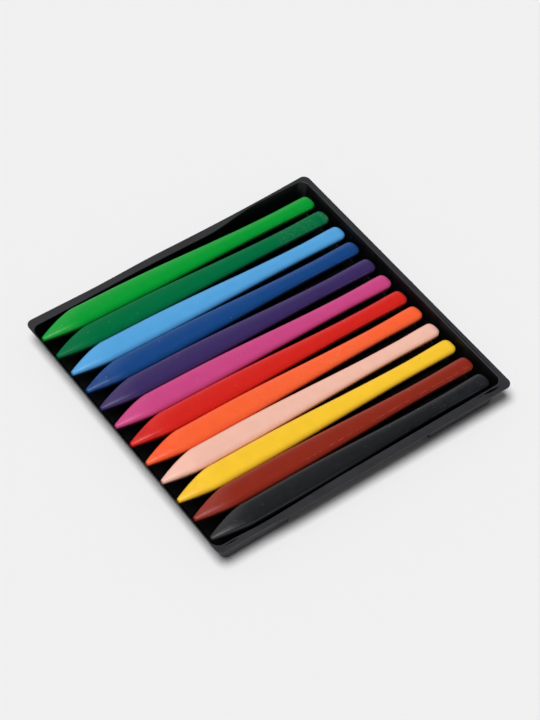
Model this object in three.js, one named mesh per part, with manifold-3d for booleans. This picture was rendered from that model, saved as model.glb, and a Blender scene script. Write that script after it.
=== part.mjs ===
// A set of twelve three-sided oil pastels lying in a black thermoformed tray.
// Millimetres, +Z up. X runs along the pastels from tip to butt and Y across the row.
// The origin is the middle of the whole set's box, on the plane that the tray stands on.
// Each pastel is a closed solid of its own. The tray is one folded sheet of even thickness.

import * as THREE from 'three';
import Module from 'manifold-3d';

const wasm = await Module();
wasm.setup();

// The pastels in the order in which they lie, from the far side to the near one.
// slide moves one along its seat, and sway moves its butt end sideways in the slack of the seat.
const PASTELS = [
  { name: 'light_green', colour: 0x169634, slide: 0.06, sway: 0.10 },
  { name: 'dark_green', colour: 0x03673b, slide: 0.04, sway: 0.50 },
  { name: 'light_blue', colour: 0x519fd7, slide: 0.25, sway: 0.25 },
  { name: 'blue', colour: 0x1b437c, slide: 0.09, sway: 0.60 },
  { name: 'violet', colour: 0x342954, slide: -0.10, sway: -0.10 },
  { name: 'pink', colour: 0xc03f7a, slide: -0.10, sway: -0.20 },
  { name: 'red', colour: 0xcd2621, slide: -0.08, sway: -0.10 },
  { name: 'orange', colour: 0xf6643c, slide: -0.07, sway: 0.40 },
  { name: 'peach', colour: 0xefb9a7, slide: -0.05, sway: 0.00 },
  { name: 'yellow', colour: 0xf4c534, slide: 0.02, sway: 0.15 },
  { name: 'brown', colour: 0x852c21, slide: 0.13, sway: -0.25 },
  { name: 'black', colour: 0x212224, slide: 0.11, sway: 0.10 },
];
const TRAY_COLOUR = 0x1b1b1d;

// One pastel: a rounded triangle, flat side up, with a blunt tip and a domed butt.
// A width runs from corner to corner of the triangle, and a round is the radius of its corners.
const LENGTH = 120.5;
const WIDE_WIDTH = 9.05;
const WIDE_ROUND = 2.0;
const WAIST_WIDTH = 6.1;
const BUTT_WIDTH = 6.5;
const SLIM_ROUND = 1.6;
const FACE_CROWN = 0.12;
const WIDE_TO = 32;
const WAIST_AT = 102;
const BUTT_DOME = 3.0;

// The tip: its corners draw in over a shorter stretch than its faces, and its end hangs a little.
const NOSE_RADIUS = 0.85;
const NOSE_ROUND = 0.35;
const NOSE_DROP = 0.8;
const CORNER_TAPER = 15;
const CORNER_POWER = 1.45;
const FACE_TAPER = 18;
const FACE_POWER = 1.8;

// How the pastels lie: side by side, each with its tip end a little higher than its butt.
const ROW_GAP = 0.25;
const TIP_LIFT = 1.5;

// The seats that the tray has for them
const SEAT_GAP = 0.3;
const BUTT_SLACK = 0.8;
const GROOVE_DEPTH = 1.4;
const SEAT_FROM_TIP = 12.5;
const SEAT_FROM_BUTT = 7;

// The tray: a cavity with leaning end walls, a flat flange round it, and two deep ends as feet
const SHEET = 0.45;
const PROUD = 1.5;
const WELL_DROP = 1.5;
const TIP_ROOM = 1.5;
const BUTT_ROOM = 2.3;
const NEAR_ROOM = 0.65;
const FAR_ROOM = 0.4;
const TIP_LEAN = 4.0;
const BUTT_LEAN = 3.9;
const SIDE_LEAN = 0.8;
const CAVITY_CORNER = 3.2;
const FLOOR_ROUND = 1.3;
const RIM_ROUND = 0.3;
const TIP_FOOT = 27.5;
const BUTT_FOOT = 29;
const STEP_RUN = 1.8;
const FOOT_INSET = 0.4;
const FOOT_LEAN = 2.0;
const FOOT_RUN = 3.0;
const FLANK_MIN = 0.25;

// The trimmed edge of the flange, as its width beyond the cavity on each side
const FLANGE_TIP = 0.45;
const FLANGE_BUTT = 2.3;
const FLANGE_NEAR = 3.3;
const FLANGE_FAR = 3.4;
const FLANGE_CORNER = 2.6;

// The cavity's far side bows outwards, and its butt half is splayed as a finger relief.
// Stretches are given by where they start and end, measured from the butt end of the row.
const FAR_BOW = 1.2;
const BOW_FROM = 122;
const BOW_TO = 62;
const SPLAY = 2.9;
const SPLAY_FROM = 46;
const SPLAY_TO = 18;
const TRIM_BOW = 0.9;
const TRIM_BOW_FROM = 98;
const TRIM_FLARE = 1.45;
const TRIM_FLARE_FROM = 55;

// Fineness of the facets
const ARC_STEPS = 4;
const FAR_STEPS = 18;

const pitch = WIDE_WIDTH + ROW_GAP;
const rowHalf = ((PASTELS.length - 1) / 2) * pitch;

// Steps from 0 to 1 with level ends.
function ease(t) {
  return (1 - Math.cos(Math.PI * Math.min(1, Math.max(0, t)))) / 2;
}

// Rounded triangle: arm is from its centre to a corner arc's centre, face to a flat side.
function triangle(width, round) {
  const arm = (width / 2 - round) / Math.cos(Math.PI / 6);
  return { arm, round, face: arm / 2 + round, corner: arm + round };
}

// The pastel's section at a distance from its tip, before the tip's taper and the butt's dome.
function sectionAt(fromTip) {
  const taper = ease((fromTip - WIDE_TO) / (WAIST_AT - WIDE_TO));
  const flare = ease((fromTip - WAIST_AT) / (LENGTH - BUTT_DOME - WAIST_AT));
  const width = WIDE_WIDTH + (WAIST_WIDTH - WIDE_WIDTH) * taper + (BUTT_WIDTH - WAIST_WIDTH) * flare;
  const round = WIDE_ROUND + (SLIM_ROUND - WIDE_ROUND) * taper;
  return triangle(width, round);
}

const wide = sectionAt(0);
const butt = sectionAt(LENGTH);

// Height of a pastel's axis at a place along it, above the axis at its butt.
function axisHeight(x) {
  return TIP_LIFT * (0.5 - x / LENGTH);
}

// Levels, measured from the axis at the butt
const seatLift = axisHeight(-LENGTH / 2 + SEAT_FROM_TIP);
const rimLevel = seatLift + wide.face - PROUD;
const deckLevel = GROOVE_DEPTH - butt.corner - SEAT_GAP;
const floorLevel = axisHeight(0) - wide.corner - SEAT_GAP - WELL_DROP;

// The bodies that the tray is cut from reach past it: sideways, over its rim and under its floor.
const beyond = rowHalf + 2 * WIDE_WIDTH;
const openLevel = rimLevel + WIDE_WIDTH;
const sunkLevel = floorLevel - 2 * SHEET;

// Closed mesh through rings of equal counts, each counter-clockwise when the next comes nearer.
function loft(rings) {
  const count = rings[0].length;
  const index = [];
  for (let k = 0; k < rings.length - 1; k++) {
    for (let i = 0; i < count; i++) {
      const j = (i + 1) % count;
      const a = k * count + i;
      const b = k * count + j;
      index.push(a, b, b + count, a, b + count, a + count);
    }
  }
  const last = (rings.length - 1) * count;
  for (const [p, q, r] of capTriangles(rings[0])) index.push(q, p, r);
  for (const [p, q, r] of capTriangles(rings[rings.length - 1])) index.push(last + p, last + q, last + r);
  const geometry = new THREE.BufferGeometry();
  geometry.setAttribute('position', new THREE.Float32BufferAttribute(rings.flat(2), 3));
  geometry.setIndex(index);
  return geometry;
}

// A ring lies in a plane of constant X or of constant Z.
function capTriangles(ring) {
  const alongX = ring.every((p) => Math.abs(p[0] - ring[0][0]) < 1e-9);
  const flat = ring.map((p) => (alongX ? new THREE.Vector2(p[1], p[2]) : new THREE.Vector2(p[0], p[1])));
  return THREE.ShapeUtils.triangulateShape(flat, []);
}

function toSolid(geometry) {
  const vertProperties = new Float32Array(geometry.getAttribute('position').array);
  const triVerts = new Uint32Array(geometry.getIndex().array);
  return new wasm.Manifold(new wasm.Mesh({ numProp: 3, vertProperties, triVerts }));
}

function toGeometry(solid) {
  const mesh = solid.getMesh();
  const geometry = new THREE.BufferGeometry();
  geometry.setAttribute('position', new THREE.Float32BufferAttribute(mesh.vertProperties, 3));
  geometry.setIndex(Array.from(mesh.triVerts));
  return geometry;
}

// A size of the pastel near its tip: it grows from the blunt nose to its full value over the taper.
function ogive(full, fromTip, taper, power) {
  const share = 1 - Math.max(0, 1 - fromTip / taper) ** power;
  return NOSE_RADIUS + (full - NOSE_RADIUS) * share;
}

// One ring of a pastel: three corner arcs, with a crowned point on each face between them.
// scale closes the butt's dome, and near the tip also the rounding of the nose.
function pastelRing(fromTip, scale) {
  const full = sectionAt(fromTip);
  const corner = ogive(full.corner, fromTip, CORNER_TAPER, CORNER_POWER);
  const face = Math.min(corner, ogive(full.face, fromTip, FACE_TAPER, FACE_POWER));
  const arm = 2 * (corner - face);
  const round = corner - arm;
  const crown = FACE_CROWN * Math.min(1, fromTip / FACE_TAPER);
  const drop = NOSE_DROP * Math.max(0, 1 - fromTip / CORNER_TAPER) ** 2;
  const points = [];
  for (const way of [30, 150, 270]) {
    const out = THREE.MathUtils.degToRad(way);
    for (const turn of [-60, -30, 0, 30, 60]) {
      const normal = out + THREE.MathUtils.degToRad(turn);
      const y = arm * Math.cos(out) + round * Math.cos(normal);
      points.push([y, arm * Math.sin(out) + round * Math.sin(normal)]);
    }
    const mid = out + Math.PI / 3;
    points.push([(face + crown) * Math.cos(mid), (face + crown) * Math.sin(mid)]);
  }
  return points.map(([y, z]) => [fromTip - LENGTH / 2, y * scale, z * scale - drop]);
}

function pastelGeometry() {
  const rings = [];
  for (const turn of [0, 45, 90]) {
    const angle = THREE.MathUtils.degToRad(turn);
    const inset = NOSE_ROUND * (1 - Math.sin(angle));
    rings.push(pastelRing(NOSE_ROUND * (1 - Math.cos(angle)), 1 - inset / NOSE_RADIUS));
  }
  for (const part of [0.12, 0.26, 0.42, 0.6, 0.8, 1]) {
    rings.push(pastelRing(part * FACE_TAPER, 1));
  }
  for (const part of [0, 0.2, 0.4, 0.6, 0.8, 1]) {
    rings.push(pastelRing(WIDE_TO + part * (WAIST_AT - WIDE_TO), 1));
  }
  const dome = LENGTH - BUTT_DOME;
  rings.push(pastelRing((WAIST_AT + dome) / 2, 1));
  for (const turn of [0, 30, 55, 75]) {
    const angle = THREE.MathUtils.degToRad(turn);
    rings.push(pastelRing(dome + BUTT_DOME * Math.sin(angle), Math.cos(angle)));
  }
  return loft(rings);
}

// How far out the far side of the cavity lies at its top, beyond its place at the tip end
function cavityFar(x) {
  const fromButt = LENGTH / 2 - x;
  const bow = FAR_BOW * ease((BOW_FROM - fromButt) / (BOW_FROM - BOW_TO));
  return bow + SPLAY * ease((SPLAY_FROM - fromButt) / (SPLAY_FROM - SPLAY_TO));
}

// The same for the trimmed edge of the flange
function trimFar(x) {
  const fromButt = LENGTH / 2 - x;
  const bow = TRIM_BOW * ease((TRIM_BOW_FROM - fromButt) / (TRIM_BOW_FROM - BOW_TO));
  return bow + TRIM_FLARE * Math.max(0, 1 - fromButt / TRIM_FLARE_FROM) ** 2;
}

// One loop round the tray at some height, counter-clockwise from above, from the near tip corner.
function trayLoop(side, level) {
  const points = [];
  const arc = (x, y, from) => {
    for (let k = 0; k <= ARC_STEPS; k++) {
      const angle = THREE.MathUtils.degToRad(from + (90 * k) / ARC_STEPS);
      points.push([x + side.round * Math.cos(angle), y + side.round * Math.sin(angle), level]);
    }
  };
  arc(side.tip + side.round, side.near + side.round, 180);
  arc(side.butt - side.round, side.near + side.round, 270);
  const farStart = side.butt - side.round;
  const farEnd = side.tip + side.round;
  arc(farStart, side.far(farStart) - side.round, 0);
  for (let k = 1; k < FAR_STEPS; k++) {
    const x = THREE.MathUtils.lerp(farStart, farEnd, k / FAR_STEPS);
    points.push([x, side.far(x), level]);
  }
  arc(farEnd, side.far(farEnd) - side.round, 90);
  return points;
}

// The cavity's wall at a level: it leans in towards the floor, and grow moves it outwards.
function wallLoop(level, grow) {
  const up = (level - floorLevel) / (rimLevel - floorLevel);
  const tipIn = TIP_LEAN * (1 - up);
  const buttIn = BUTT_LEAN * (1 - up);
  const sideIn = SIDE_LEAN * (1 - up);
  return trayLoop({
    tip: -LENGTH / 2 - TIP_ROOM + tipIn - grow,
    butt: LENGTH / 2 + BUTT_ROOM - buttIn + grow,
    near: -rowHalf - WIDE_WIDTH / 2 - NEAR_ROOM + sideIn - grow,
    far: (x) => rowHalf + WIDE_WIDTH / 2 + FAR_ROOM - sideIn + grow + cavityFar(x) * Math.max(0, up),
    round: CAVITY_CORNER + grow,
  }, level);
}

// Rings from the rounded foot of the wall up to the rim. skin is 0 inside and SHEET outside.
function wallRings(skin) {
  const bottom = floorLevel - skin;
  const round = FLOOR_ROUND + skin;
  const rings = [];
  for (let k = 0; k <= ARC_STEPS; k++) {
    const angle = ((Math.PI / 2) * k) / ARC_STEPS;
    rings.push(wallLoop(bottom + round * (1 - Math.cos(angle)), skin - round * (1 - Math.sin(angle))));
  }
  return rings;
}

// Points across the tray at one station: twelve seats in a flat deck. A seat is an arc under the
// pastel's lower corner, and its straight flanks are tangent to the arc and end at the deck.
function deckLine(x) {
  const fromTip = x + LENGTH / 2;
  const { arm, round } = sectionAt(fromTip);
  const slack = BUTT_SLACK * Math.max(0, (fromTip - WIDE_TO) / (LENGTH - WIDE_TO));
  const centre = axisHeight(x) - arm;
  const reach = round + SEAT_GAP;
  const steep = Math.min(Math.PI / 3, Math.acos((centre - deckLevel + FLANK_MIN) / reach));
  const flank = (deckLevel - centre + reach * Math.cos(steep)) / Math.tan(steep);
  const seat = [[reach * Math.sin(steep) + flank + slack, deckLevel]];
  for (const turn of [steep, steep / 2]) {
    seat.push([reach * Math.sin(turn) + slack, centre - reach * Math.cos(turn)]);
  }
  const line = [[-beyond, deckLevel]];
  for (let i = PASTELS.length - 1; i >= 0; i--) {
    const y = rowHalf - i * pitch;
    line.push(...seat.map(([out, level]) => [y - out, level]));
    line.push([y, centre - reach]);
    line.push(...seat.map(([out, level]) => [y + out, level]).reverse());
  }
  line.push([beyond, deckLevel]);
  return line;
}

// The same line moved down by the sheet's thickness, square to each stretch of it.
function underLine(line) {
  const normals = line.slice(1).map((p, k) => {
    const length = Math.hypot(p[0] - line[k][0], p[1] - line[k][1]);
    return [(p[1] - line[k][1]) / length, (line[k][0] - p[0]) / length];
  });
  return line.map((p, k) => {
    const before = normals[Math.max(0, k - 1)];
    const after = normals[Math.min(normals.length - 1, k)];
    const share = SHEET / (1 + before[0] * after[0] + before[1] * after[1]);
    return [p[0] + share * (before[0] + after[0]), p[1] + share * (before[1] + after[1])];
  });
}

// How far a wall that leans in by run over its rise moves when the sheet's face moves by skin
function shiftOf(skin, run, rise) {
  return (skin * Math.hypot(run, rise)) / rise;
}

// Everything above the deck. Past the deck's ends it is sunk, and there the wall's own floor rules.
// skin is 0 for the upper face of the sheet and SHEET for its underside.
function aboveDeck(skin) {
  const tipEnd = -LENGTH / 2 + SEAT_FROM_TIP;
  const buttEnd = LENGTH / 2 - SEAT_FROM_BUTT;
  const drop = deckLevel - sunkLevel;
  const inward = shiftOf(skin, STEP_RUN, drop) - (skin * STEP_RUN) / drop;
  const stations = [[-LENGTH, true], [tipEnd - STEP_RUN, true], [tipEnd, false]];
  for (const part of [0, 0.2, 0.4, 0.6, 0.8, 1]) {
    stations.push([WIDE_TO + part * (WAIST_AT - WIDE_TO) - LENGTH / 2, false]);
  }
  stations.push([buttEnd, false], [buttEnd + STEP_RUN, true], [LENGTH, true]);
  return loft(stations.map(([x, sunk]) => {
    const line = deckLine(Math.min(buttEnd, Math.max(tipEnd, x)));
    const level = (skin > 0 ? underLine(line) : line).map(([y, z]) => [y, sunk ? sunkLevel : z]);
    const atEnd = sunk || x === tipEnd || x === buttEnd;
    const place = atEnd ? x - Math.sign(x) * inward : x;
    const ring = level.map(([y, z]) => [place, y, z]);
    ring.push([place, beyond, openLevel], [place, -beyond, openLevel]);
    return ring;
  }));
}

// The space over one side foot, which cuts through the deck beside the outermost seat.
// end is -1 at the tips and 1 at the butts, and side is -1 near and 1 far.
function overFoot(end, side, skin) {
  const rise = rimLevel - sunkLevel;
  const length = end < 0 ? TIP_FOOT : BUTT_FOOT;
  const ring = (level) => {
    const low = (rimLevel - level) / rise;
    const x = end * (LENGTH / 2 - length + FOOT_RUN * (low - 1) - shiftOf(skin, FOOT_RUN, rise));
    const y = side * (rowHalf + FOOT_INSET + FOOT_LEAN * low - shiftOf(skin, FOOT_LEAN, rise));
    const xs = [Math.min(x, end * LENGTH), Math.max(x, end * LENGTH)];
    const ys = [Math.min(y, side * beyond), Math.max(y, side * beyond)];
    return [[xs[0], ys[0], level], [xs[1], ys[0], level], [xs[1], ys[1], level], [xs[0], ys[1], level]];
  };
  return toSolid(loft([ring(sunkLevel), ring(rimLevel)]));
}

function aboveFloor(skin) {
  let space = toSolid(aboveDeck(skin));
  for (const [end, side] of [[-1, -1], [-1, 1], [1, -1], [1, 1]]) {
    space = space.add(overFoot(end, side, skin));
  }
  return space;
}

function flangeLoop(level) {
  return trayLoop({
    tip: -LENGTH / 2 - TIP_ROOM - FLANGE_TIP,
    butt: LENGTH / 2 + BUTT_ROOM + FLANGE_BUTT,
    near: -rowHalf - WIDE_WIDTH / 2 - NEAR_ROOM - FLANGE_NEAR,
    far: (x) => rowHalf + WIDE_WIDTH / 2 + FAR_ROOM + FLANGE_FAR + trimFar(x),
    round: FLANGE_CORNER,
  }, level);
}

// The tray: the space inside its underside, with the flange, less the space over its upper face.
function trayGeometry() {
  const outerWall = [...wallRings(SHEET), wallLoop(rimLevel - SHEET / 2, SHEET)];
  const innerWall = wallRings(0);
  for (const turn of [0, 30, 60, 90]) {
    const angle = THREE.MathUtils.degToRad(turn);
    innerWall.push(wallLoop(rimLevel - RIM_ROUND * (1 - Math.sin(angle)), RIM_ROUND * (1 - Math.cos(angle))));
  }
  innerWall.push(wallLoop(rimLevel, RIM_ROUND).map(([x, y]) => [x, y, (rimLevel + openLevel) / 2]));
  const outside = toSolid(loft(outerWall)).intersect(aboveFloor(SHEET));
  const inside = toSolid(loft(innerWall)).intersect(aboveFloor(0));
  const flange = toSolid(loft([flangeLoop(rimLevel - SHEET), flangeLoop(rimLevel)]));
  return toGeometry(outside.add(flange).subtract(inside));
}

function part(name, geometry, color, roughness) {
  const material = new THREE.MeshStandardMaterial({ color, roughness, metalness: 0, flatShading: true });
  const mesh = new THREE.Mesh(geometry, material);
  mesh.name = name;
  return mesh;
}

const contents = new THREE.Group();
contents.add(part('tray', trayGeometry(), TRAY_COLOUR, 0.35));

PASTELS.forEach(({ name, colour, slide, sway }, i) => {
  const pastel = part(`pastel_${name}`, pastelGeometry(), colour, 0.5);
  const pivot = LENGTH / 2 - WIDE_TO;
  const turn = sway / (LENGTH - WIDE_TO);
  pastel.rotation.set(0, TIP_LIFT / LENGTH, turn);
  pastel.position.set(slide, rowHalf - i * pitch + pivot * turn, axisHeight(0));
  contents.add(pastel);
});

// The set's box is centred on the origin in plan and stands on it.
const box = new THREE.Box3().setFromObject(contents);
const middle = box.getCenter(new THREE.Vector3());
contents.position.set(-middle.x, -middle.y, -box.min.z);

const set = new THREE.Group();
set.add(contents);

export default set;
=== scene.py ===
# The looks of twelve three-sided oil pastels in their black thermoformed tray.
# Shapes are worked out in millimetres in the tray's own frame, with X along the pastels from
# tip to butt, Y across the row and Z up from the axis at a pastel's butt. The last step of
# each mesh moves it into the row frame and turns it into metres.

import math

import bpy
import numpy as np
from mathutils import Matrix, Vector, noise


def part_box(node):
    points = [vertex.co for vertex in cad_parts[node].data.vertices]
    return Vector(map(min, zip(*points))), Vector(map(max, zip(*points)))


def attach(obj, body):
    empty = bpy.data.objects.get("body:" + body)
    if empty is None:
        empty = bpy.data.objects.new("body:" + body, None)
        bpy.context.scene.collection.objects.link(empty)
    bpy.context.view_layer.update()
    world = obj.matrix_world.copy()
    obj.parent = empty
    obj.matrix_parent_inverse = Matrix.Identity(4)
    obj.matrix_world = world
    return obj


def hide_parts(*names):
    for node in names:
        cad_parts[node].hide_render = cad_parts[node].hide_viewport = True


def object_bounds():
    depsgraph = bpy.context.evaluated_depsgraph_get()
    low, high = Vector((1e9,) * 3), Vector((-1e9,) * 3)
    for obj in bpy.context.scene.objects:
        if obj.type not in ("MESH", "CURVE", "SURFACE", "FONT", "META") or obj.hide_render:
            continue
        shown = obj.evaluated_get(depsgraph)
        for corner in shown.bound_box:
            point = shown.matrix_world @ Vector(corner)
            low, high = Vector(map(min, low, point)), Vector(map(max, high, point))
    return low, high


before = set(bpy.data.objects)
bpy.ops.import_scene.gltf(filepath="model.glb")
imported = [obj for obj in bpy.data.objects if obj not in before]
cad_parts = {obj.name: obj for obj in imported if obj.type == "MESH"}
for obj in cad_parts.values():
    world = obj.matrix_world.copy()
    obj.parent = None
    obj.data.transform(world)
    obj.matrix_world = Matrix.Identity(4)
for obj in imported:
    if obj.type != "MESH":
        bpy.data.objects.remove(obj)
cad_low, cad_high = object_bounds()

MM = 0.001

# The pastels from the far side to the near one: name, colour (sRGB), slide along the seat,
# and how far the butt sways sideways.
PASTELS = [
    ("light_green", (1, 155, 51), 0.06, 0.10),
    ("dark_green", (1, 108, 62), 0.04, 0.50),
    ("light_blue", (85, 164, 222), 0.25, 0.25),
    ("blue", (20, 69, 131), 0.09, 0.60),
    ("violet", (59, 43, 96), -0.10, -0.10),
    ("pink", (203, 70, 131), -0.10, -0.20),
    ("red", (213, 35, 28), -0.08, -0.10),
    ("orange", (254, 100, 52), -0.07, 0.40),
    ("peach", (244, 191, 172), -0.05, 0.00),
    ("yellow", (251, 201, 49), 0.02, 0.15),
    ("brown", (140, 41, 26), 0.13, -0.25),
    ("black", (30, 31, 33), 0.11, 0.10),
]

# One pastel, as in the CAD
LENGTH = 120.5
WIDE_WIDTH = 9.05
WIDE_ROUND = 2.0
WAIST_WIDTH = 6.1
BUTT_WIDTH = 6.5
SLIM_ROUND = 1.6
WIDE_TO = 32
WAIST_AT = 102
BUTT_DOME = 3.0
NOSE_RADIUS = 0.85
NOSE_ROUND = 0.35
NOSE_DROP = 0.8
CORNER_TAPER = 15
CORNER_POWER = 1.45
FACE_TAPER = 18
FACE_POWER = 1.8
ROW_GAP = 0.25
TIP_LIFT = 1.5

# The tray, as in the CAD, but with steeper side walls on a tighter foot
SEAT_GAP = 0.3
BUTT_SLACK = 0.8
GROOVE_DEPTH = 1.4
SEAT_FROM_TIP = 12.5
SEAT_FROM_BUTT = 7
SHEET = 0.45
PROUD = 1.5
WELL_DROP = 1.5
TIP_ROOM = 1.5
BUTT_ROOM = 2.3
NEAR_ROOM = 0.65
FAR_ROOM = 0.4
TIP_LEAN = 4.0
BUTT_LEAN = 3.9
SIDE_LEAN = 0.05
CAVITY_CORNER = 3.2
FLOOR_ROUND = 0.5
RIM_ROUND = 0.3
TIP_FOOT = 27.5
BUTT_FOOT = 29
STEP_RUN = 1.8
FOOT_INSET = 0.4
FOOT_LEAN = 2.0
FOOT_RUN = 3.0
FLANK_MIN = 0.25
FLANGE_TIP = 0.45
FLANGE_BUTT = 2.3
FLANGE_NEAR = 3.3
FLANGE_FAR = 3.4
FLANGE_CORNER = 2.6
FAR_BOW = 1.2
BOW_FROM = 122
BOW_TO = 62
SPLAY = 2.9
SPLAY_FROM = 46
SPLAY_TO = 18
TRIM_BOW = 0.9
TRIM_BOW_FROM = 98
TRIM_FLARE = 1.45
TRIM_FLARE_FROM = 55

# Finer forms of the tray that only this model has: corners that tighten towards the floor, the
# near side's bow, its narrower trim over the left foot, and the rounding of the trimmed edge,
# the seats' edges and the upright corners over the feet
CORNER_TIGHTER = 1.6
NEAR_BOW = 0.62
NEAR_BOW_AT = -42
NEAR_BOW_LEFT = 14
NEAR_BOW_RIGHT = 34
NEAR_TRIM = 0.6
NEAR_TRIM_FROM = -30
NEAR_TRIM_TO = -46
EDGE_ROUND = 0.1
EDGE_UNDER = 0.05
SEAT_EDGE = 0.45
FOOT_CORNER = 0.9

# Cuts in the flange's top (from, to, half width, depth), of which the first ones are painted dark inside
# (painted shade), and burrs left on its trimmed edge
CUTS = [
    ((52.9, -57.3), (60.3, -57.65), 0.48, 0.38),
    ((50.6, -57.15), (52.4, -57.2), 0.13, 0.3),
    ((-59.0, -57.2), (-52.8, -57.15), 0.2, 0.38),
    ((63.15, -55.5), (63.15, -12.0), 0.17, 0.16),
]
DARK_CUTS = 3
BURRS = [(64.85, 15.9), (64.85, -2.6), (64.85, -40.2), (-62.2, -7.4)]
BURR_OUT = 0.3
BURR_HALF_WIDTH = 0.15
BURR_THINNER = 0.1

# Fineness of the meshes
ARC_STEPS = 12
SIDE_STEPS = 40
BEND_STEPS = 3
CREST_STEPS = 12
DECK_STEPS = 24
FOOT_CORNER_STEPS = 6
CUT_STEPS = 8
EDGE_STEPS = 5
RIM_STEPS = 8
NOSE_RINGS = 6
TIP_RINGS = 30
BODY_RINGS = 60
DOME_RINGS = 10

pitch = WIDE_WIDTH + ROW_GAP
row_half = (len(PASTELS) - 1) / 2 * pitch


def ease(t):
    return (1 - math.cos(math.pi * min(1, max(0, t)))) / 2


def section_at(from_tip):
    """Arm, corner round, face distance and corner distance of the rounded triangle."""
    taper = ease((from_tip - WIDE_TO) / (WAIST_AT - WIDE_TO))
    flare = ease((from_tip - WAIST_AT) / (LENGTH - BUTT_DOME - WAIST_AT))
    width = WIDE_WIDTH + (WAIST_WIDTH - WIDE_WIDTH) * taper + (BUTT_WIDTH - WAIST_WIDTH) * flare
    corner_round = WIDE_ROUND + (SLIM_ROUND - WIDE_ROUND) * taper
    arm = (width / 2 - corner_round) / math.cos(math.pi / 6)
    return arm, corner_round, arm / 2 + corner_round, arm + corner_round


def axis_height(x):
    return TIP_LIFT * (0.5 - x / LENGTH)


wide_face, wide_corner = section_at(0)[2:]
butt_corner = section_at(LENGTH)[3]
seat_lift = axis_height(-LENGTH / 2 + SEAT_FROM_TIP)
rim_level = seat_lift + wide_face - PROUD
deck_level = GROOVE_DEPTH - butt_corner - SEAT_GAP
floor_level = axis_height(0) - wide_corner - SEAT_GAP - WELL_DROP
beyond = row_half + 2 * WIDE_WIDTH
open_level = rim_level + WIDE_WIDTH
sunk_level = floor_level - 2 * SHEET

# Where the tray's own frame lies in the row frame, from the tray's lowest corner
tray_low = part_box("tray")[0] / MM
shift = np.array([
    tray_low.x + LENGTH / 2 + TIP_ROOM + FLANGE_TIP,
    tray_low.y + row_half + WIDE_WIDTH / 2 + NEAR_ROOM + FLANGE_NEAR,
    tray_low.z - floor_level + SHEET,
])


def make_object(name, points, faces):
    mesh = bpy.data.meshes.new(name)
    placed = (np.asarray(points, float) + shift) * MM
    mesh.from_pydata([tuple(p) for p in placed], [], faces)
    mesh.update()
    made = bpy.data.objects.new(name, mesh)
    bpy.context.scene.collection.objects.link(made)
    return made


# Pastels

# Steps round each corner and along each face, and half a corner's share of the way to the next
CORNER_TURNS = 10
FACE_POINTS = 13
CORNER_SHARE = 0.2

# The angle, in degrees, at which a crowned face leaves its corners: near the tip, in the wide
# part and in the slim part, and the stretch over which the tip's angle fades
TIP_TILT = 11
WIDE_TILT = 5
SLIM_TILT = 12
TIP_TILT_FROM = 7
TIP_TILT_TO = 22

# How much closer the rings lie towards the tip, and the turn, in degrees, at which the dome ends
TIP_CROWDING = 1.3
DOME_TURN = 84

# The wax's soft unevenness: how close its waves lie along and across a pastel, how far apart
# the pastels lie in the pattern, how much closer the fine waves lie, how far both move the
# surface, and the stretch at the tip over which they set in
WAVES_ALONG = 0.11
WAVES_ACROSS = 0.22
WAVES_APART = 17
FINER = 4.1
WAVES_OUT = 0.02
FINER_OUT = 0.006
CALM_TIP = 6

# The UV map's unit: millimetres from the tip, and corners round the section
UV_ALONG = 100.0
UV_AROUND = 3.0


def outline(arm, corner_round, tilt):
    """Points round a section from its bottom corner, with their place round it from 0 to 3.
    Each face is a shallow curve that leaves the corners at the tilt."""
    points = []
    places = []
    half = arm * math.cos(math.pi / 6) + corner_round * math.sin(tilt)
    edge = arm / 2 + corner_round * math.cos(tilt)
    crown = half * math.tan(tilt) / 2
    for k, way in enumerate((270, 30, 150, 270)):
        out = math.radians(way)
        first = 0 if k == 0 else -CORNER_TURNS // 2
        last = 0 if k == 3 else CORNER_TURNS // 2
        for step in range(first, last + 1):
            turn = step / (CORNER_TURNS / 2)
            normal = out + (math.radians(60) - tilt) * turn
            points.append((
                arm * math.cos(out) + corner_round * math.cos(normal),
                arm * math.sin(out) + corner_round * math.sin(normal),
            ))
            places.append(k + CORNER_SHARE * turn)
        if k == 3:
            break
        middle = out + math.pi / 3
        for step in range(1, FACE_POINTS):
            t = 2 * step / FACE_POINTS - 1
            far = edge + crown * (1 - t * t)
            points.append((
                far * math.cos(middle) - half * t * math.sin(middle),
                far * math.sin(middle) + half * t * math.cos(middle),
            ))
            places.append(k + 0.5 + (0.5 - CORNER_SHARE) * t)
    return points[:-1], places


def tip_size(full, from_tip, taper, power):
    share = 1 - max(0, 1 - from_tip / taper) ** power
    return NOSE_RADIUS + (full - NOSE_RADIUS) * share


def pastel_ring(from_tip, scale):
    full = section_at(from_tip)
    corner = tip_size(full[3], from_tip, CORNER_TAPER, CORNER_POWER)
    face = min(corner, tip_size(full[2], from_tip, FACE_TAPER, FACE_POWER))
    arm = 2 * (corner - face)
    slim = ease((from_tip - WIDE_TO) / (WAIST_AT - WIDE_TO))
    near_tip = ease((TIP_TILT_TO - from_tip) / (TIP_TILT_TO - TIP_TILT_FROM))
    tilt = math.radians(WIDE_TILT + (SLIM_TILT - WIDE_TILT) * slim + (TIP_TILT - WIDE_TILT) * near_tip)
    drop = NOSE_DROP * max(0, 1 - from_tip / CORNER_TAPER) ** 2
    points, places = outline(arm, corner - arm, tilt)
    ring = [(from_tip - LENGTH / 2, y * scale, z * scale - drop) for y, z in points]
    return ring, places


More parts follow.
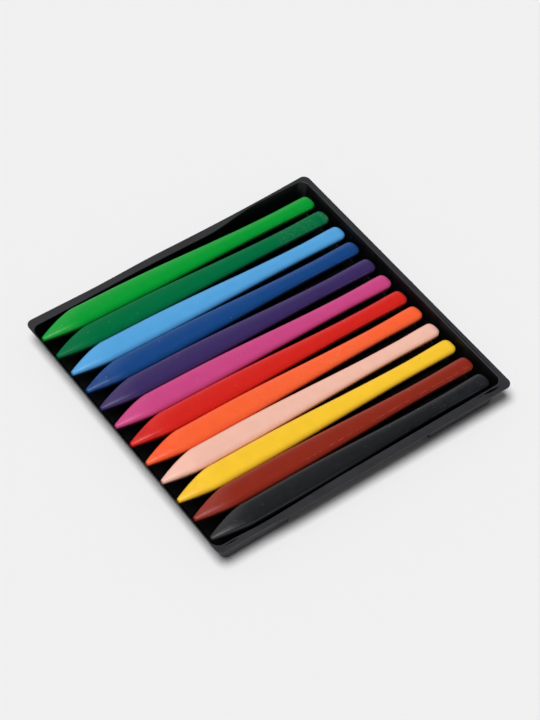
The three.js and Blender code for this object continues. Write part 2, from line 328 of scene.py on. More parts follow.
def pastel_stations():
    """Distance from the tip and scale of each ring."""
    stations = []
    for step in range(NOSE_RINGS + 1):
        angle = math.radians(90 * step / NOSE_RINGS)
        inset = NOSE_ROUND * (1 - math.sin(angle))
        stations.append((NOSE_ROUND * (1 - math.cos(angle)), 1 - inset / NOSE_RADIUS))
    for step in range(1, TIP_RINGS + 1):
        share = (step / TIP_RINGS) ** TIP_CROWDING
        stations.append((NOSE_ROUND + (FACE_TAPER - NOSE_ROUND) * share, 1))
    dome = LENGTH - BUTT_DOME
    for step in range(1, BODY_RINGS + 1):
        stations.append((FACE_TAPER + (dome - FACE_TAPER) * step / BODY_RINGS, 1))
    for step in range(1, DOME_RINGS + 1):
        angle = math.radians(DOME_TURN * step / DOME_RINGS)
        stations.append((dome + BUTT_DOME * math.sin(angle), math.cos(angle)))
    return stations


def build_pastel(i, name, slide, sway):
    """High-resolution pastel with a softly uneven surface, and a UV map of along and around."""
    stations = pastel_stations()
    rings = []
    for from_tip, scale in stations:
        ring, places = pastel_ring(from_tip, scale)
        rings.append(ring)
    count = len(rings[0])
    points = np.array(rings)
    centres = points.mean(axis=1, keepdims=True)
    outward = points - centres
    outward[:, :, 0] = 0
    outward /= np.maximum(np.linalg.norm(outward, axis=2, keepdims=True), 1e-6)
    for k, (from_tip, scale) in enumerate(stations):
        calm = scale * min(1, from_tip / CALM_TIP)
        for j in range(count):
            x, y, z = points[k, j]
            at = Vector((x * WAVES_ALONG, y * WAVES_ACROSS + WAVES_APART * i, z * WAVES_ACROSS))
            out = WAVES_OUT * noise.noise(at) + FINER_OUT * noise.noise(at * FINER)
            points[k, j] += outward[k, j] * calm * out
    faces = []
    uvs = []
    for k in range(len(rings) - 1):
        for j in range(count):
            after = (j + 1) % count
            faces.append((k * count + j, k * count + after, (k + 1) * count + after, (k + 1) * count + j))
            low, high = places[j] / UV_AROUND, places[j + 1] / UV_AROUND
            near, far = stations[k][0] / UV_ALONG, stations[k + 1][0] / UV_ALONG
            uvs += [(near, low), (near, high), (far, high), (far, low)]
    last = (len(rings) - 1) * count
    faces.append(tuple(reversed(range(count))))
    uvs += [(0, places[j] / UV_AROUND) for j in reversed(range(count))]
    faces.append(tuple(range(last, last + count)))
    uvs += [(LENGTH / UV_ALONG, places[j] / UV_AROUND) for j in range(count)]
    turn = sway / (LENGTH - WIDE_TO)
    pose = Matrix.Rotation(TIP_LIFT / LENGTH, 3, "Y") @ Matrix.Rotation(turn, 3, "Z")
    place = np.array([slide, row_half - i * pitch + (LENGTH / 2 - WIDE_TO) * turn, axis_height(0)])
    flat = points.reshape(-1, 3) @ np.array(pose).T + place
    made = make_object(f"wax_{name}", flat, [tuple(reversed(f)) for f in faces])
    layer = made.data.uv_layers.new(name="along_around")
    start = 0
    for face in faces:
        turned = list(reversed(uvs[start:start + len(face)]))
        for loop, uv in enumerate(turned):
            layer.data[start + loop].uv = uv
        start += len(face)
    made.data.polygons.foreach_set("use_smooth", [True] * len(faces))
    return made


# Tray

# The angle, in degrees, from which an edge of the tray is shaded as a sharp one
SHARP_ANGLE = 32


def loft(name, rings):
    count = len(rings[0])
    faces = []
    for k in range(len(rings) - 1):
        for j in range(count):
            after = (j + 1) % count
            faces.append((k * count + j, k * count + after, (k + 1) * count + after, (k + 1) * count + j))
    last = (len(rings) - 1) * count
    faces.append(tuple(reversed(range(count))))
    faces.append(tuple(range(last, last + count)))
    return make_object(name, [p for ring in rings for p in ring], faces)


def cavity_far(x):
    from_butt = LENGTH / 2 - x
    bow = FAR_BOW * ease((BOW_FROM - from_butt) / (BOW_FROM - BOW_TO))
    return bow + SPLAY * ease((SPLAY_FROM - from_butt) / (SPLAY_FROM - SPLAY_TO))


def trim_far(x):
    from_butt = LENGTH / 2 - x
    bow = TRIM_BOW * ease((TRIM_BOW_FROM - from_butt) / (TRIM_BOW_FROM - BOW_TO))
    return bow + TRIM_FLARE * max(0, 1 - from_butt / TRIM_FLARE_FROM) ** 2


def near_bow(x):
    reach = NEAR_BOW_LEFT if x < NEAR_BOW_AT else NEAR_BOW_RIGHT
    return NEAR_BOW * ease(1 - abs(x - NEAR_BOW_AT) / reach)


def near_trim(x):
    return NEAR_TRIM * ease((NEAR_TRIM_FROM - x) / (NEAR_TRIM_FROM - NEAR_TRIM_TO))


def tray_loop(tip, butt, near, far, corner, level):
    """A loop round the tray, counter-clockwise from above, from its near tip corner."""
    points = []

    def arc(x, y, start):
        for k in range(ARC_STEPS + 1):
            angle = math.radians(start + 90 * k / ARC_STEPS)
            points.append((x + corner * math.cos(angle), y + corner * math.sin(angle), level))

    def between(ax, ay, bx, by):
        for k in range(1, SIDE_STEPS):
            t = k / SIDE_STEPS
            points.append((ax + (bx - ax) * t, ay + (by - ay) * t, level))

    def side(edge, ax, bx):
        for k in range(1, SIDE_STEPS):
            x = ax + (bx - ax) * k / SIDE_STEPS
            points.append((x, edge(x), level))

    start, end = butt - corner, tip + corner
    arc(end, near(end) + corner, 180)
    side(near, end, start)
    arc(start, near(start) + corner, 270)
    between(butt, near(start) + corner, butt, far(start) - corner)
    arc(start, far(start) - corner, 0)
    side(far, start, end)
    arc(end, far(end) - corner, 90)
    between(tip, far(end) - corner, tip, near(end) + corner)
    return points


def wall_loop(level, grow):
    up = (level - floor_level) / (rim_level - floor_level)
    side_in = SIDE_LEAN * (1 - up)
    return tray_loop(
        -LENGTH / 2 - TIP_ROOM + TIP_LEAN * (1 - up) - grow,
        LENGTH / 2 + BUTT_ROOM - BUTT_LEAN * (1 - up) + grow,
        lambda x: -row_half - WIDE_WIDTH / 2 - NEAR_ROOM + side_in - grow - near_bow(x) * max(0, up),
        lambda x: row_half + WIDE_WIDTH / 2 + FAR_ROOM - side_in + grow + cavity_far(x) * max(0, up),
        CAVITY_CORNER + grow - CORNER_TIGHTER * (1 - up),
        level,
    )


def wall_rings(skin):
    bottom = floor_level - skin
    bend = FLOOR_ROUND + skin
    rings = []
    for k in range(ARC_STEPS + 1):
        angle = math.pi / 2 * k / ARC_STEPS
        rings.append(wall_loop(bottom + bend * (1 - math.cos(angle)), skin - bend * (1 - math.sin(angle))))
    return rings


def rounded_line(line, reach):
    """The line with each inner corner replaced by a short curve that starts and ends at the
    reach from it, or at a share of the way to the next corner where that is less."""
    share = 0.4
    points = [line[0]]
    for k in range(1, len(line) - 1):
        a, b, c = (np.array(line[m]) for m in (k - 1, k, k + 1))
        before, after = np.linalg.norm(a - b), np.linalg.norm(c - b)
        start = b + (a - b) * min(reach, share * before) / before
        end = b + (c - b) * min(reach, share * after) / after
        for step in range(BEND_STEPS + 1):
            t = step / BEND_STEPS
            points.append(tuple((1 - t) ** 2 * start + 2 * t * (1 - t) * b + t * t * end))
    points.append(line[-1])
    return points


def deck_line(x):
    """Across the tray at one station: twelve seats in a flat deck."""
    from_tip = x + LENGTH / 2
    arm, corner_round = section_at(from_tip)[:2]
    slack = BUTT_SLACK * max(0, (from_tip - WIDE_TO) / (LENGTH - WIDE_TO))
    centre = axis_height(x) - arm
    reach = corner_round + SEAT_GAP
    steep = min(math.pi / 3, math.acos((centre - deck_level + FLANK_MIN) / reach))
    flank = (deck_level - centre + reach * math.cos(steep)) / math.tan(steep)
    seat = [(reach * math.sin(steep) + flank + slack, deck_level)]
    for part in (1, 0.8, 0.6, 0.4, 0.2):
        turn = steep * part
        seat.append((reach * math.sin(turn) + slack, centre - reach * math.cos(turn)))
    line = [(-beyond, deck_level)]
    for i in reversed(range(len(PASTELS))):
        y = row_half - i * pitch
        line += [(y - out, level) for out, level in seat]
        line.append((y, centre - reach))
        line += [(y + out, level) for out, level in reversed(seat)]
    line.append((beyond, deck_level))
    return rounded_line(line, SEAT_EDGE)


def under_line(line):
    """The line moved down by the sheet's thickness, square to itself."""
    p = np.array(line)
    step = np.diff(p, axis=0)
    normal = np.stack([step[:, 1], -step[:, 0]], axis=1) / np.linalg.norm(step, axis=1, keepdims=True)
    before = np.vstack([normal[:1], normal])
    after = np.vstack([normal, normal[-1:]])
    share = SHEET / (1 + (before * after).sum(axis=1, keepdims=True))
    return [tuple(q) for q in p + share * (before + after)]


def shift_of(skin, run, rise):
    return skin * math.hypot(run, rise) / rise


# Where the rounding of a step's crest starts and ends, and how far past the crest its rings go,
# all as shares of the step's rise
CREST_SOFT = 0.06
CREST_PAST = 1.2


def crest(t):
    """The step's rise from 0 to 1, rounded where it meets the deck."""
    gap = 1 - t
    if gap > CREST_SOFT:
        return t
    if gap < -CREST_SOFT:
        return 1.0
    return 1 - (gap + CREST_SOFT) ** 2 / (4 * CREST_SOFT)


def above_deck(name, skin):
    """Everything above the deck, down to the steps at its two ends."""
    tip_end = -LENGTH / 2 + SEAT_FROM_TIP
    butt_end = LENGTH / 2 - SEAT_FROM_BUTT
    drop = deck_level - sunk_level
    inward = shift_of(skin, STEP_RUN, drop) - skin * STEP_RUN / drop
    stations = [(-LENGTH, 0)]
    for k in range(CREST_STEPS + 1):
        t = CREST_PAST * k / CREST_STEPS
        stations.append((tip_end - STEP_RUN * (1 - t) + inward, crest(t)))
    for k in range(1, DECK_STEPS):
        along_deck = (butt_end - tip_end - 2 * STEP_RUN) * k / DECK_STEPS
        stations.append((tip_end + STEP_RUN + along_deck, 1))
    for k in reversed(range(CREST_STEPS + 1)):
        t = CREST_PAST * k / CREST_STEPS
        stations.append((butt_end + STEP_RUN * (1 - t) - inward, crest(t)))
    stations.append((LENGTH, 0))
    rings = []
    for x, rise in stations:
        line = deck_line(min(butt_end, max(tip_end, x)))
        if skin:
            line = under_line(line)
        ring = [(x, y, sunk_level + (z - sunk_level) * rise) for y, z in line]
        rings.append(ring + [(x, beyond, open_level), (x, -beyond, open_level)])
    return loft(name, rings)


def over_foot(name, end, side, skin):
    """The space over one side foot. Its inner upright corner is rounded."""
    rise = rim_level - sunk_level
    length = TIP_FOOT if end < 0 else BUTT_FOOT
    rings = []
    for level in (sunk_level, rim_level):
        low = (rim_level - level) / rise
        x = end * (LENGTH / 2 - length + FOOT_RUN * (low - 1) - shift_of(skin, FOOT_RUN, rise))
        y = side * (row_half + FOOT_INSET + FOOT_LEAN * low - shift_of(skin, FOOT_LEAN, rise))
        bend = FOOT_CORNER + (0 if skin else SHEET)
        ring = []
        for k in range(FOOT_CORNER_STEPS + 1):
            angle = math.pi / 2 * k / FOOT_CORNER_STEPS
            ring.append((
                x + end * bend * (1 - math.cos(angle)),
                y + side * bend * (1 - math.sin(angle)),
                level,
            ))
        ring += [(end * LENGTH, y, level), (end * LENGTH, side * beyond, level), (x, side * beyond, level)]
        if end * side < 0:
            ring.reverse()
        rings.append(ring)
    return loft(name, rings)


def boolean(target, other, operation):
    modifier = target.modifiers.new("cut", "BOOLEAN")
    modifier.object = other
    modifier.operation = operation
    modifier.solver = "MANIFOLD"
    depsgraph = bpy.context.evaluated_depsgraph_get()
    mesh = bpy.data.meshes.new_from_object(target.evaluated_get(depsgraph))
    target.modifiers.clear()
    target.data = mesh
    bpy.data.objects.remove(other)
    if not mesh.polygons:
        raise RuntimeError(f"{operation} left nothing of {target.name}")


def above_floor(skin):
    space = above_deck("space", skin)
    for end in (-1, 1):
        for side in (-1, 1):
            boolean(space, over_foot("foot", end, side, skin), "UNION")
    return space


def flange_loop(level, inset):
    return tray_loop(
        -LENGTH / 2 - TIP_ROOM - FLANGE_TIP + inset,
        LENGTH / 2 + BUTT_ROOM + FLANGE_BUTT - inset,
        lambda x: -row_half - WIDE_WIDTH / 2 - NEAR_ROOM - FLANGE_NEAR + inset + near_trim(x),
        lambda x: row_half + WIDE_WIDTH / 2 + FAR_ROOM + FLANGE_FAR + trim_far(x) - inset,
        FLANGE_CORNER - inset,
        level,
    )


def sliver(name, start, end, half_width, low, high):
    """A lens-shaped prism along a line, between two levels."""
    start, end = np.array(start), np.array(end)
    run = end - start
    across = np.array([-run[1], run[0]]) / np.linalg.norm(run)
    ring = []
    for side in (-1, 1):
        for k in range(CUT_STEPS):
            t = k / CUT_STEPS if side < 0 else 1 - k / CUT_STEPS
            ring.append(start + run * t + across * side * half_width * math.sin(math.pi * t))
    return loft(name, [[(x, y, level) for x, y in ring] for level in (low, high)])


def build_flange():
    under_level = rim_level - SHEET
    rings = [flange_loop(under_level, EDGE_UNDER), flange_loop(under_level + EDGE_UNDER, 0)]
    for k in range(EDGE_STEPS + 1):
        angle = math.pi / 2 * k / EDGE_STEPS
        level = rim_level - EDGE_ROUND * (1 - math.sin(angle))
        rings.append(flange_loop(level, EDGE_ROUND * (1 - math.cos(angle))))
    return loft("flange", rings)


def build_inner():
    """The space inside the sheet, from its upper skin to well above the rim."""
    rings = wall_rings(0)
    for k in range(RIM_STEPS + 1):
        angle = math.pi / 2 * k / RIM_STEPS
        level = rim_level - RIM_ROUND * (1 - math.sin(angle))
        rings.append(wall_loop(level, RIM_ROUND * (1 - math.cos(angle))))
    rings.append([(x, y, open_level) for x, y, z in wall_loop(rim_level, RIM_ROUND)])
    inner = loft("inner", rings)
    boolean(inner, above_floor(0), "INTERSECT")
    return inner


def build_tray():
    outer = loft("tray_sheet", wall_rings(SHEET) + [wall_loop(rim_level - SHEET / 2, SHEET)])
    boolean(outer, above_floor(SHEET), "INTERSECT")
    boolean(outer, build_flange(), "UNION")
    boolean(outer, build_inner(), "DIFFERENCE")
    for start, end, half_width, depth in CUTS:
        cut = sliver("cut", start, end, half_width, rim_level - depth, open_level)
        boolean(outer, cut, "DIFFERENCE")
    low = rim_level - SHEET + BURR_THINNER
    high = rim_level - BURR_THINNER
    for x, y in BURRS:
        out = math.copysign(BURR_OUT, x)
        burr = sliver("burr", (x - out, y), (x + out, y), BURR_HALF_WIDTH, low, high)
        boolean(outer, burr, "UNION")
    outer.data.polygons.foreach_set("use_smooth", [True] * len(outer.data.polygons))
    outer.data.set_sharp_from_angle(angle=math.radians(SHARP_ANGLE))
    weighted = outer.modifiers.new("even_shading", "WEIGHTED_NORMAL")
    weighted.keep_sharp = True
    return outer


# Materials

def linear(rgb):
    def one(c):
        c = c / 255
        return c / 12.92 if c <= 0.04045 else ((c + 0.055) / 1.055) ** 2.4
    return tuple(one(c) for c in rgb) + (1.0,)


class Nodes:
    """Short names for building one material's nodes."""

    def __init__(self, name):
        self.material = bpy.data.materials.new(name)
        self.material.use_nodes = True
        self.tree = self.material.node_tree
        self.shader = self.tree.nodes["Principled BSDF"]

    def new(self, kind, **values):
        node = self.tree.nodes.new(kind)
        for key, value in values.items():
            setattr(node, key, value)
        return node

    def join(self, source, target):
        self.tree.links.new(source, target)

    def math(self, operation, a, b=0.0):
        node = self.new("ShaderNodeMath", operation=operation)
        for socket, value in zip(node.inputs, (a, b)):
            if isinstance(value, (int, float)):
                socket.default_value = value
            else:
                self.join(value, socket)
        return node.outputs[0]

    def place(self):
        """Object coordinates in millimetres."""
        coordinates = self.new("ShaderNodeTexCoord")
        scaled = self.new("ShaderNodeVectorMath", operation="SCALE")
        scaled.inputs["Scale"].default_value = 1 / MM
        self.join(coordinates.outputs["Object"], scaled.inputs[0])
        return scaled.outputs[0]

    def stretched(self, vector, scale, offset=(0, 0, 0), turn=(0, 0, 0)):
        mapping = self.new("ShaderNodeMapping")
        mapping.inputs["Scale"].default_value = scale
        mapping.inputs["Location"].default_value = offset
        mapping.inputs["Rotation"].default_value = turn
        self.join(vector, mapping.inputs["Vector"])
        return mapping.outputs[0]

    def noise(self, vector, scale, detail, rough=0.55):
        node = self.new("ShaderNodeTexNoise")
        node.inputs["Scale"].default_value = scale
        node.inputs["Detail"].default_value = detail
        node.inputs["Roughness"].default_value = rough
        self.join(vector, node.inputs["Vector"])
        return node.outputs["Fac"]

    def ramp(self, value, low, high, out_low=0.0, out_high=1.0):
        node = self.new("ShaderNodeMapRange", interpolation_type="SMOOTHSTEP")
        node.inputs["From Min"].default_value = low
        node.inputs["From Max"].default_value = high
        node.inputs["To Min"].default_value = out_low
        node.inputs["To Max"].default_value = out_high
        self.join(value, node.inputs["Value"])
        return node.outputs["Result"]

    def mix(self, share, a, b):
        node = self.new("ShaderNodeMix", data_type="RGBA")
        for socket, value in ((node.inputs[0], share), (node.inputs[6], a), (node.inputs[7], b)):
            if isinstance(value, tuple):
                socket.default_value = value
            else:
                self.join(value, socket)
        return node.outputs[2]

    def bump(self, height, distance, strength=1.0, below=None):
        node = self.new("ShaderNodeBump")
        node.inputs["Strength"].default_value = strength
        node.inputs["Distance"].default_value = distance * MM
        self.join(height, node.inputs["Height"])
        if below is not None:
            self.join(below, node.inputs["Normal"])
        return node.outputs["Normal"]

    def band(self, value, low, high, soft):
        """1 between low and high, falling to 0 over soft on either side."""
        rise = self.ramp(value, low - soft, low)
        return self.math("MULTIPLY", rise, self.ramp(value, high, high + soft, 1.0, 0.0))

    def specks(self, vector, scale, size, share):
        """Small round spots at random places: 1 inside a spot."""
        cells = self.new("ShaderNodeTexVoronoi")
        cells.inputs["Scale"].default_value = scale
        self.join(vector, cells.inputs["Vector"])
        pick = self.new("ShaderNodeSeparateColor")
        self.join(cells.outputs["Color"], pick.inputs[0])
        chosen = self.math("LESS_THAN", pick.outputs[0], share)
        extent = self.math("MULTIPLY", pick.outputs[1], size)
        inside = self.math("LESS_THAN", cells.outputs["Distance"], extent)
        return self.math("MULTIPLY", chosen, inside)


def toned(rgb, factor, pale=0.0):
    return tuple(min(1.0, c * factor + pale) for c in rgb[:3]) + (1.0,)


# Marks on single pastels, among them painted shade at some tips and a painted glow: kind, the stretch they
# cover in millimetres from the tip, and strength
MARKS = {
    "dark_green": [("chalky", 98, 113, 0.25), ("chalky", 118, 121, 0.5)],
    "blue": [("deep", 3, 8, 0.6)],
    "red": [("deep", 3, 8, 0.7)],
    "orange": [("deep", 4, 10, 0.5), ("chalky", 44, 96, 0.25)],
    "peach": [("painted_glow", 20, 121, 0.8)],
    "yellow": [("deep", 3, 9, 0.5)],
    "brown": [("scratch", 44, 116, 0.4), ("chalky", 4, 13, 0.1), ("dusty", 112, 119, 0.35)],
    "black": [
        ("smudge", 98, 119, 0.4),
        ("chalky", 4, 13, 0.07),
        ("dusty", 4, 14, 0.4),
        ("dusty", 96, 118, 0.3),
    ],
}
MARK_SOFT = 2.5

# Places round a section, counted in corners from the bottom one, and the colour of the painted glow, a
# painted reflection of light bounced from the nearer pastel
SCRATCH_PLACE = 1.84
PARTING_PLACE = 1.98
GLOW_FROM = 2.1
GLOW_TO = 2.6
GLOW_COLOUR = (0.72, 0.26, 0.07, 1.0)

# How strongly each kind of wear shows on every pastel; the parting line's paleness is partly a painted
# highlight
CLOUD = 0.03
SCUFF = 0.1
PARTING_AND_HIGHLIGHT = 0.4
DUST = 0.34
PITS = 0.5

# Gloss of the wax, and of the one pastel that is duller
GLOSS = 0.42
DULL = {"dark_green": 0.12}


def marked(n, colour, base, place, along, around, marks):
    """The colour with a pastel's own marks laid over it, and with painted shade at some tips and a painted
    glow on the peach's near face.
    """
    broad = n.ramp(n.noise(place, 0.22, 2), 0.32, 0.62)
    fine = n.ramp(n.noise(place, 1.1, 6, 0.7), 0.46, 0.7)
    from_scratch = n.math("ABSOLUTE", n.math("SUBTRACT", around, SCRATCH_PLACE))
    broken = n.ramp(n.noise(place, 0.6, 3), 0.44, 0.54)
    scratch = n.math("MULTIPLY", n.ramp(from_scratch, 0.003, 0.014, 1.0, 0.0), broken)
    kinds = {
        # deep: darker, more saturated colour near the tip, painted shade where the tip's slopes catch less
        # light
        "deep": (broad, tuple(c ** 1.25 * 0.93 for c in base[:3]) + (1.0,)),
        "chalky": (fine, toned(base, 1.0, 0.13)),
        "smudge": (broad, tuple(c + d for c, d in zip(base[:3], (0.008, 0.012, 0.018))) + (1.0,)),
        "scratch": (scratch, toned(base, 1.0, 0.2)),
        "dusty": (n.specks(place, 1.5, 0.3, 0.3), toned(base, 1.0, 0.2)),
        # painted_glow: an orange tint on the near lower face, a painted reflection of light bounced from
        # the nearer pastel
        "painted_glow": (n.band(around, GLOW_FROM, GLOW_TO, 0.09), GLOW_COLOUR),
    }
    for kind, start, end, strength in marks:
        pattern, laid = kinds[kind]
        where = n.math("MULTIPLY", n.band(along, start, end, MARK_SOFT), pattern)
        colour = n.mix(n.math("MULTIPLY", where, strength), colour, laid)
    return colour


def wax_material(i, name, srgb):
    n = Nodes(f"wax_{name}")
    base = linear(srgb)
    place = n.stretched(n.place(), (1, 1, 1), offset=(31.0 * i, 0, 0))
    uv = n.new("ShaderNodeTexCoord").outputs["UV"]
    parts = n.new("ShaderNodeSeparateXYZ")
    n.join(uv, parts.inputs[0])
    along = n.math("MULTIPLY", parts.outputs[0], UV_ALONG)
    around = n.math("MULTIPLY", parts.outputs[1], UV_AROUND)
    cloud = n.ramp(n.noise(place, 0.2, 7, 0.68), 0.3, 0.7)
    colour = n.mix(cloud, toned(base, 1 - CLOUD), toned(base, 1 + CLOUD))
    # Pale scuffs that follow the stick's length
    lengthwise = n.stretched(place, (0.22, 2.2, 2.2), turn=(0, 0, 0.06))
    streaks = n.ramp(n.noise(lengthwise, 1.0, 5, 0.6), 0.6, 0.75)
    scuff = n.math("MULTIPLY", streaks, n.ramp(n.noise(place, 0.12, 2), 0.52, 0.66))
    colour = n.mix(n.math("MULTIPLY", scuff, SCUFF), colour, toned(base, 1.0, 0.12))
    colour = marked(n, colour, base, place, along, around, MARKS.get(name, []))
    # The mould's parting line on the near upper corner, painted paler: partly the seam's own colour and
    # partly a painted highlight along it, plainest at the butt
    from_line = n.math("ABSOLUTE", n.math("SUBTRACT", around, PARTING_PLACE))
    plain = n.ramp(along, 70, 108, 0.2, 1.0)
    line = n.math("MULTIPLY", n.ramp(from_line, 0.006, 0.03, 1.0, 0.0), plain)
    line = n.math("MULTIPLY", line, n.ramp(n.noise(place, 0.3, 3), 0.34, 0.54))
    colour = n.mix(n.math("MULTIPLY", line, PARTING_AND_HIGHLIGHT), colour, toned(base, 1.15, 0.1))
    # Dust and pits
    dust = n.specks(place, scale=0.46, size=0.11, share=0.26)
    elsewhere = n.stretched(place, (1, 1, 1), offset=(5.3, 2.1, 9.4))
    pits = n.specks(elsewhere, scale=0.36, size=0.09, share=0.14)
    colour = n.mix(n.math("MULTIPLY", dust, DUST), colour, toned(base, 1.0, 0.3))
    colour = n.mix(n.math("MULTIPLY", pits, PITS), colour, toned(base, 0.35))
    n.join(colour, n.shader.inputs["Base Color"])
    rough = n.ramp(n.noise(place, 0.5, 4), 0.3, 0.7, 0.28, 0.34)
    n.join(n.math("ADD", rough, n.math("MULTIPLY", scuff, 0.15)), n.shader.inputs["Roughness"])
    n.shader.inputs["Specular IOR Level"].default_value = DULL.get(name, GLOSS)
    grain = n.bump(n.noise(place, 2.6, 4, 0.6), 0.05, 0.3)
    dents = n.bump(n.noise(lengthwise, 0.7, 3), 0.05, 0.25, grain)
    n.join(n.bump(pits, -0.05, 0.6, dents), n.shader.inputs["Normal"])
    return n.material


def tray_material(name, colour, roughness, gloss):
    """Black sheet, softly clouded, with a little dust and shallow waves."""
    n = Nodes(name)
    place = n.place()
    cloud = n.ramp(n.noise(place, 0.07, 3), 0.35, 0.65)
    sheet = n.mix(cloud, toned(colour, 0.88), toned(colour, 1.12))
    dust = n.specks(place, scale=0.5, size=0.09, share=0.1)
    sheet = n.mix(n.math("MULTIPLY", dust, 0.4), sheet, toned(colour, 1.0, 0.1))
    n.join(sheet, n.shader.inputs["Base Color"])
    rough = n.ramp(n.noise(place, 0.4, 4), 0.3, 0.7, roughness, roughness + 0.1)
    n.join(rough, n.shader.inputs["Roughness"])
    n.shader.inputs["Specular IOR Level"].default_value = gloss
    waves = n.bump(n.noise(place, 0.09, 2), 0.5, 0.25)
    n.join(n.bump(n.noise(place, 1.8, 3), 0.03, 0.3, waves), n.shader.inputs["Normal"])
    return n.material


# Pieces

# The tray's colours, two copies of one black sheet: a lighter one, partly rubbed wear and partly painted
# sheen, for the flange and outer faces, and a darker one, painted shade, for its inside and trimmed edge.
RUBBED_AND_LIT = (0.0275, 0.0277, 0.0318)
SHADED_SHEET = (0.0018, 0.0018, 0.0023)

# A face lies in a dark cut, and gets the darker sheet as painted shade, when its centre is this far from
# the flange's top and underside, this near to the cut's side, and no further past its ends than this share
# of its length
CUT_CLEAR = 0.03
CUT_NEAR = 0.05
CUT_PAST = 0.02

for i, (name, srgb, slide, sway) in enumerate(PASTELS):
    stick = build_pastel(i, name, slide, sway)
    stick.data.materials.append(wax_material(i, name, srgb))
    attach(stick, f"{name}_pastel")
    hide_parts(f"pastel_{name}")

tray = build_tray()
tray.data.materials.clear()
# Material 0 is the lighter copy (partly rubbed wear, partly painted sheen); material 1 is the darker copy,
# painted shade
tray.data.materials.append(tray_material("rubbed_and_lit_sheet", RUBBED_AND_LIT, roughness=0.38, gloss=0.35))
tray.data.materials.append(tray_material("painted_shade_sheet", SHADED_SHEET, roughness=0.27, gloss=0.24))


def in_dark_cut(x, y, level):
    if not rim_level - SHEET + CUT_CLEAR < level < rim_level - CUT_CLEAR:
        return False
    for start, end, half_width, depth in CUTS[:DARK_CUTS]:
        t = (x - start[0]) / (end[0] - start[0])
        off_line = abs(y - start[1] - (end[1] - start[1]) * t)
        if -CUT_PAST < t < 1 + CUT_PAST and off_line < half_width + CUT_NEAR:
            return True
    return False


# Painted shade: faces turned into the tray below the rim, the trimmed edge and the insides of the first
# cuts get the darker copy of the sheet
inside_below = rim_level - RIM_ROUND / 2
for face in tray.data.polygons:
    x, y, level = np.array(face.center) / MM - shift
    inwards = face.normal.x * x + face.normal.y * y < 0
    facing_in = inwards if abs(face.normal.z) < 0.1 else face.normal.z > 0
    trimmed_edge = abs(face.normal.z) < 0.6 and not inwards and level > rim_level - SHEET + 0.01
    dark = facing_in and level < inside_below or trimmed_edge or in_dark_cut(x, y, level)
    face.material_index = int(dark)
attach(tray, "tray")
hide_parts("tray")

# The camera, where the photograph's was worked out to be

FOCAL_LENGTH = 103.455
SENSOR_WIDTH = 36
PHOTO_HEIGHT = 720
CAMERA_PLACE = (-0.296889, -0.349425, 0.580412)
CAMERA_RIGHT = Vector((0.80244, -0.59406, 0.05639))
CAMERA_DOWN = Vector((-0.43803, -0.65058, -0.62038))
CAMERA_FORWARD = Vector((0.40523, 0.47312, -0.78227))

camera = bpy.data.objects.new("camera", bpy.data.cameras.new("camera"))
bpy.context.scene.collection.objects.link(camera)
bpy.context.scene.camera = camera
camera.data.lens = FOCAL_LENGTH
camera.data.sensor_width = SENSOR_WIDTH
# Half a pixel each way
camera.data.shift_x = -0.5 / PHOTO_HEIGHT
camera.data.shift_y = 0.5 / PHOTO_HEIGHT
camera_turn = Matrix((CAMERA_RIGHT, -CAMERA_DOWN, -CAMERA_FORWARD)).transposed()
camera.matrix_world = Matrix.Translation(CAMERA_PLACE) @ camera_turn.to_4x4()
camera.data.clip_start = 0.01
camera.data.clip_end = 20

# Floor, world and lamps

FLOOR_COLOUR = 0.872
FLOOR_HALF = 3.0
BACKGROUND = 0.863
AMBIENT = 0.13

# What shows in gloss: the pale background round the horizon and up the far side, and a dim top.
# The way to that top, and how far along it the fade from the one to the other starts and ends
GLOSS_TOP = (0.8, -0.3, 1.0)
FADE_FROM = 0.64
FADE_TO = 0.94
DIM_TOP = 0.02


def floor_material():
    n = Nodes("pale_floor")
    n.shader.inputs["Base Color"].default_value = (FLOOR_COLOUR, FLOOR_COLOUR, FLOOR_COLOUR, 1)
    n.shader.inputs["Roughness"].default_value = 1.0
    n.shader.inputs["Specular IOR Level"].default_value = 0.0
    return n.material


floor_corners = [(x * FLOOR_HALF, y * FLOOR_HALF, 0) for x, y in ((-1, -1), (1, -1), (1, 1), (-1, 1))]
floor_mesh = bpy.data.meshes.new("floor")
floor_mesh.from_pydata(floor_corners, [], [(0, 1, 2, 3)])
floor =bpy.data.objects.new("floor", floor_mesh)
bpy.context.scene.collection.objects.link(floor)
floor.location.z = cad_low.z
floor_mesh.materials.append(floor_material())

world = bpy.data.worlds.new("world")
bpy.context.scene.world = world
world.use_nodes = True
tree = world.node_tree
ambient = tree.nodes["Background"]
ambient.inputs["Color"].default_value = (AMBIENT, AMBIENT, AMBIENT, 1)
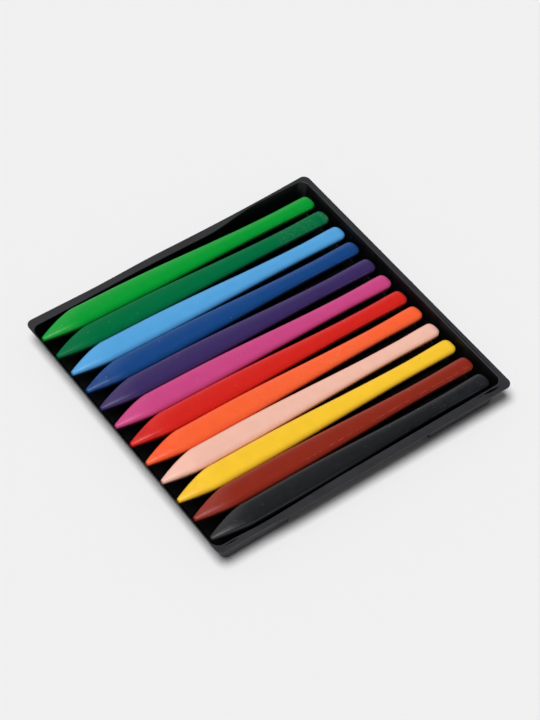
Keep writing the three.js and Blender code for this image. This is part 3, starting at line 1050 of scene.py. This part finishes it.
# What the camera sees past the floor is the pale background alone
direction = tree.nodes.new("ShaderNodeTexCoord")
towards_top = tree.nodes.new("ShaderNodeVectorMath")
towards_top.operation = "DOT_PRODUCT"
towards_top.inputs[1].default_value = GLOSS_TOP
tree.links.new(direction.outputs["Generated"], towards_top.inputs[0])
fade = tree.nodes.new("ShaderNodeMapRange")
fade.interpolation_type = "SMOOTHSTEP"
fade.inputs["From Min"].default_value = FADE_FROM
fade.inputs["From Max"].default_value = FADE_TO
fade.inputs["To Min"].default_value = BACKGROUND
fade.inputs["To Max"].default_value = DIM_TOP
tree.links.new(towards_top.outputs["Value"], fade.inputs["Value"])
path = tree.nodes.new("ShaderNodeLightPath")
pale = tree.nodes.new("ShaderNodeMix")
pale.inputs["B"].default_value = BACKGROUND
tree.links.new(path.outputs["Is Camera Ray"], pale.inputs["Factor"])
tree.links.new(fade.outputs["Result"], pale.inputs["A"])
seen = tree.nodes.new("ShaderNodeBackground")
tree.links.new(pale.outputs["Result"], seen.inputs["Color"])
seen_by = path.outputs["Is Camera Ray"]
for ray in ("Is Glossy Ray", "Is Transmission Ray"):
    either = tree.nodes.new("ShaderNodeMath")
    either.operation = "MAXIMUM"
    tree.links.new(seen_by, either.inputs[0])
    tree.links.new(path.outputs[ray], either.inputs[1])
    seen_by = either.outputs[0]
mixed = tree.nodes.new("ShaderNodeMixShader")
tree.links.new(seen_by, mixed.inputs[0])
tree.links.new(ambient.outputs[0], mixed.inputs[1])
tree.links.new(seen.outputs[0], mixed.inputs[2])
tree.links.new(mixed.outputs[0], tree.nodes["World Output"].inputs["Surface"])


def sun(name, towards, strength, spread):
    lamp = bpy.data.lights.new(name, "SUN")
    lamp.energy = strength
    lamp.angle = math.radians(spread)
    made = bpy.data.objects.new(name, lamp)
    bpy.context.scene.collection.objects.link(made)
    made.rotation_euler = Vector(towards).to_track_quat("Z", "Y").to_euler()
    return made


# One lamp lights the colours, and the other shows only in the gloss
overhead = sun("overhead", towards=(-0.25, -0.02, 0.968), strength=2.83, spread=30)
overhead.visible_glossy = False
softbox = sun("softbox", towards=(-0.34, 0.02, 0.94), strength=0.85, spread=24)
softbox.visible_diffuse = False

bpy.context.scene.view_settings.view_transform = "Standard"
